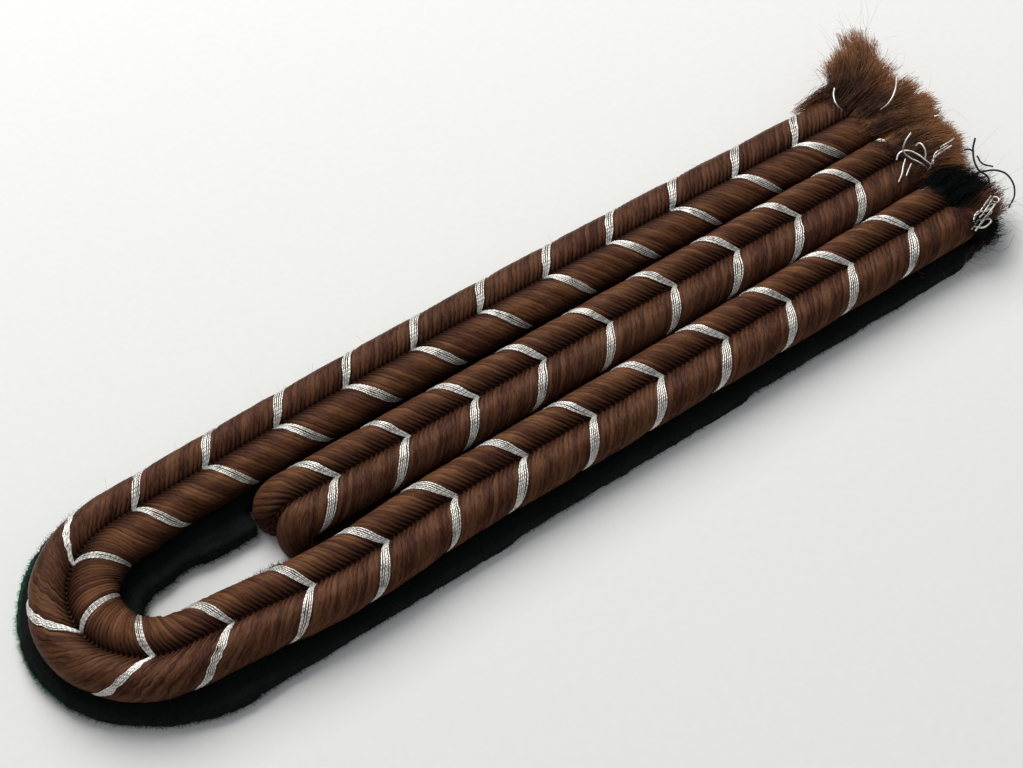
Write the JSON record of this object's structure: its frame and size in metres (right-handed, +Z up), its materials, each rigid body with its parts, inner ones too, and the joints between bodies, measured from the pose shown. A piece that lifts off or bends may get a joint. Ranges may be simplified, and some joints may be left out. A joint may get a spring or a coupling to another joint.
{
  "type": "shoulder board",
  "caption": "Narrow shoulder board of ribbed brown silk cord with silver chevrons on a dark wool felt backing, with a button opening at its round end and a frayed seam end.",
  "frame": {"origin": "on the felt backing's underside, halfway along it, under the middle cord's centre line", "axes": "+X along the board towards the cut seam end, +Y across it towards the first leg of the outer cord, +Z up from the surface that it lies on"},
  "size_m": [0.1313, 0.0379, 0.006],
  "materials": {
    "silk": "satin brown silk thread",
    "silver_thread": "fine silver metal thread",
    "felt": "dark green wool felt",
    "frayed_silk": "loose brown silk filaments",
    "core_wool": "matt dark wool"
  },
  "bodies": {
    "root": {"backing": "felt", "outer_cord": "silk", "middle_cord": "silk", "outer_chevrons": "silver_thread", "middle_chevrons": "silver_thread", "first_leg_tuft": "frayed_silk", "middle_tuft": "frayed_silk", "second_leg_tuft": "frayed_silk", "core_wool": "core_wool"}
  },
  "joints": []
}
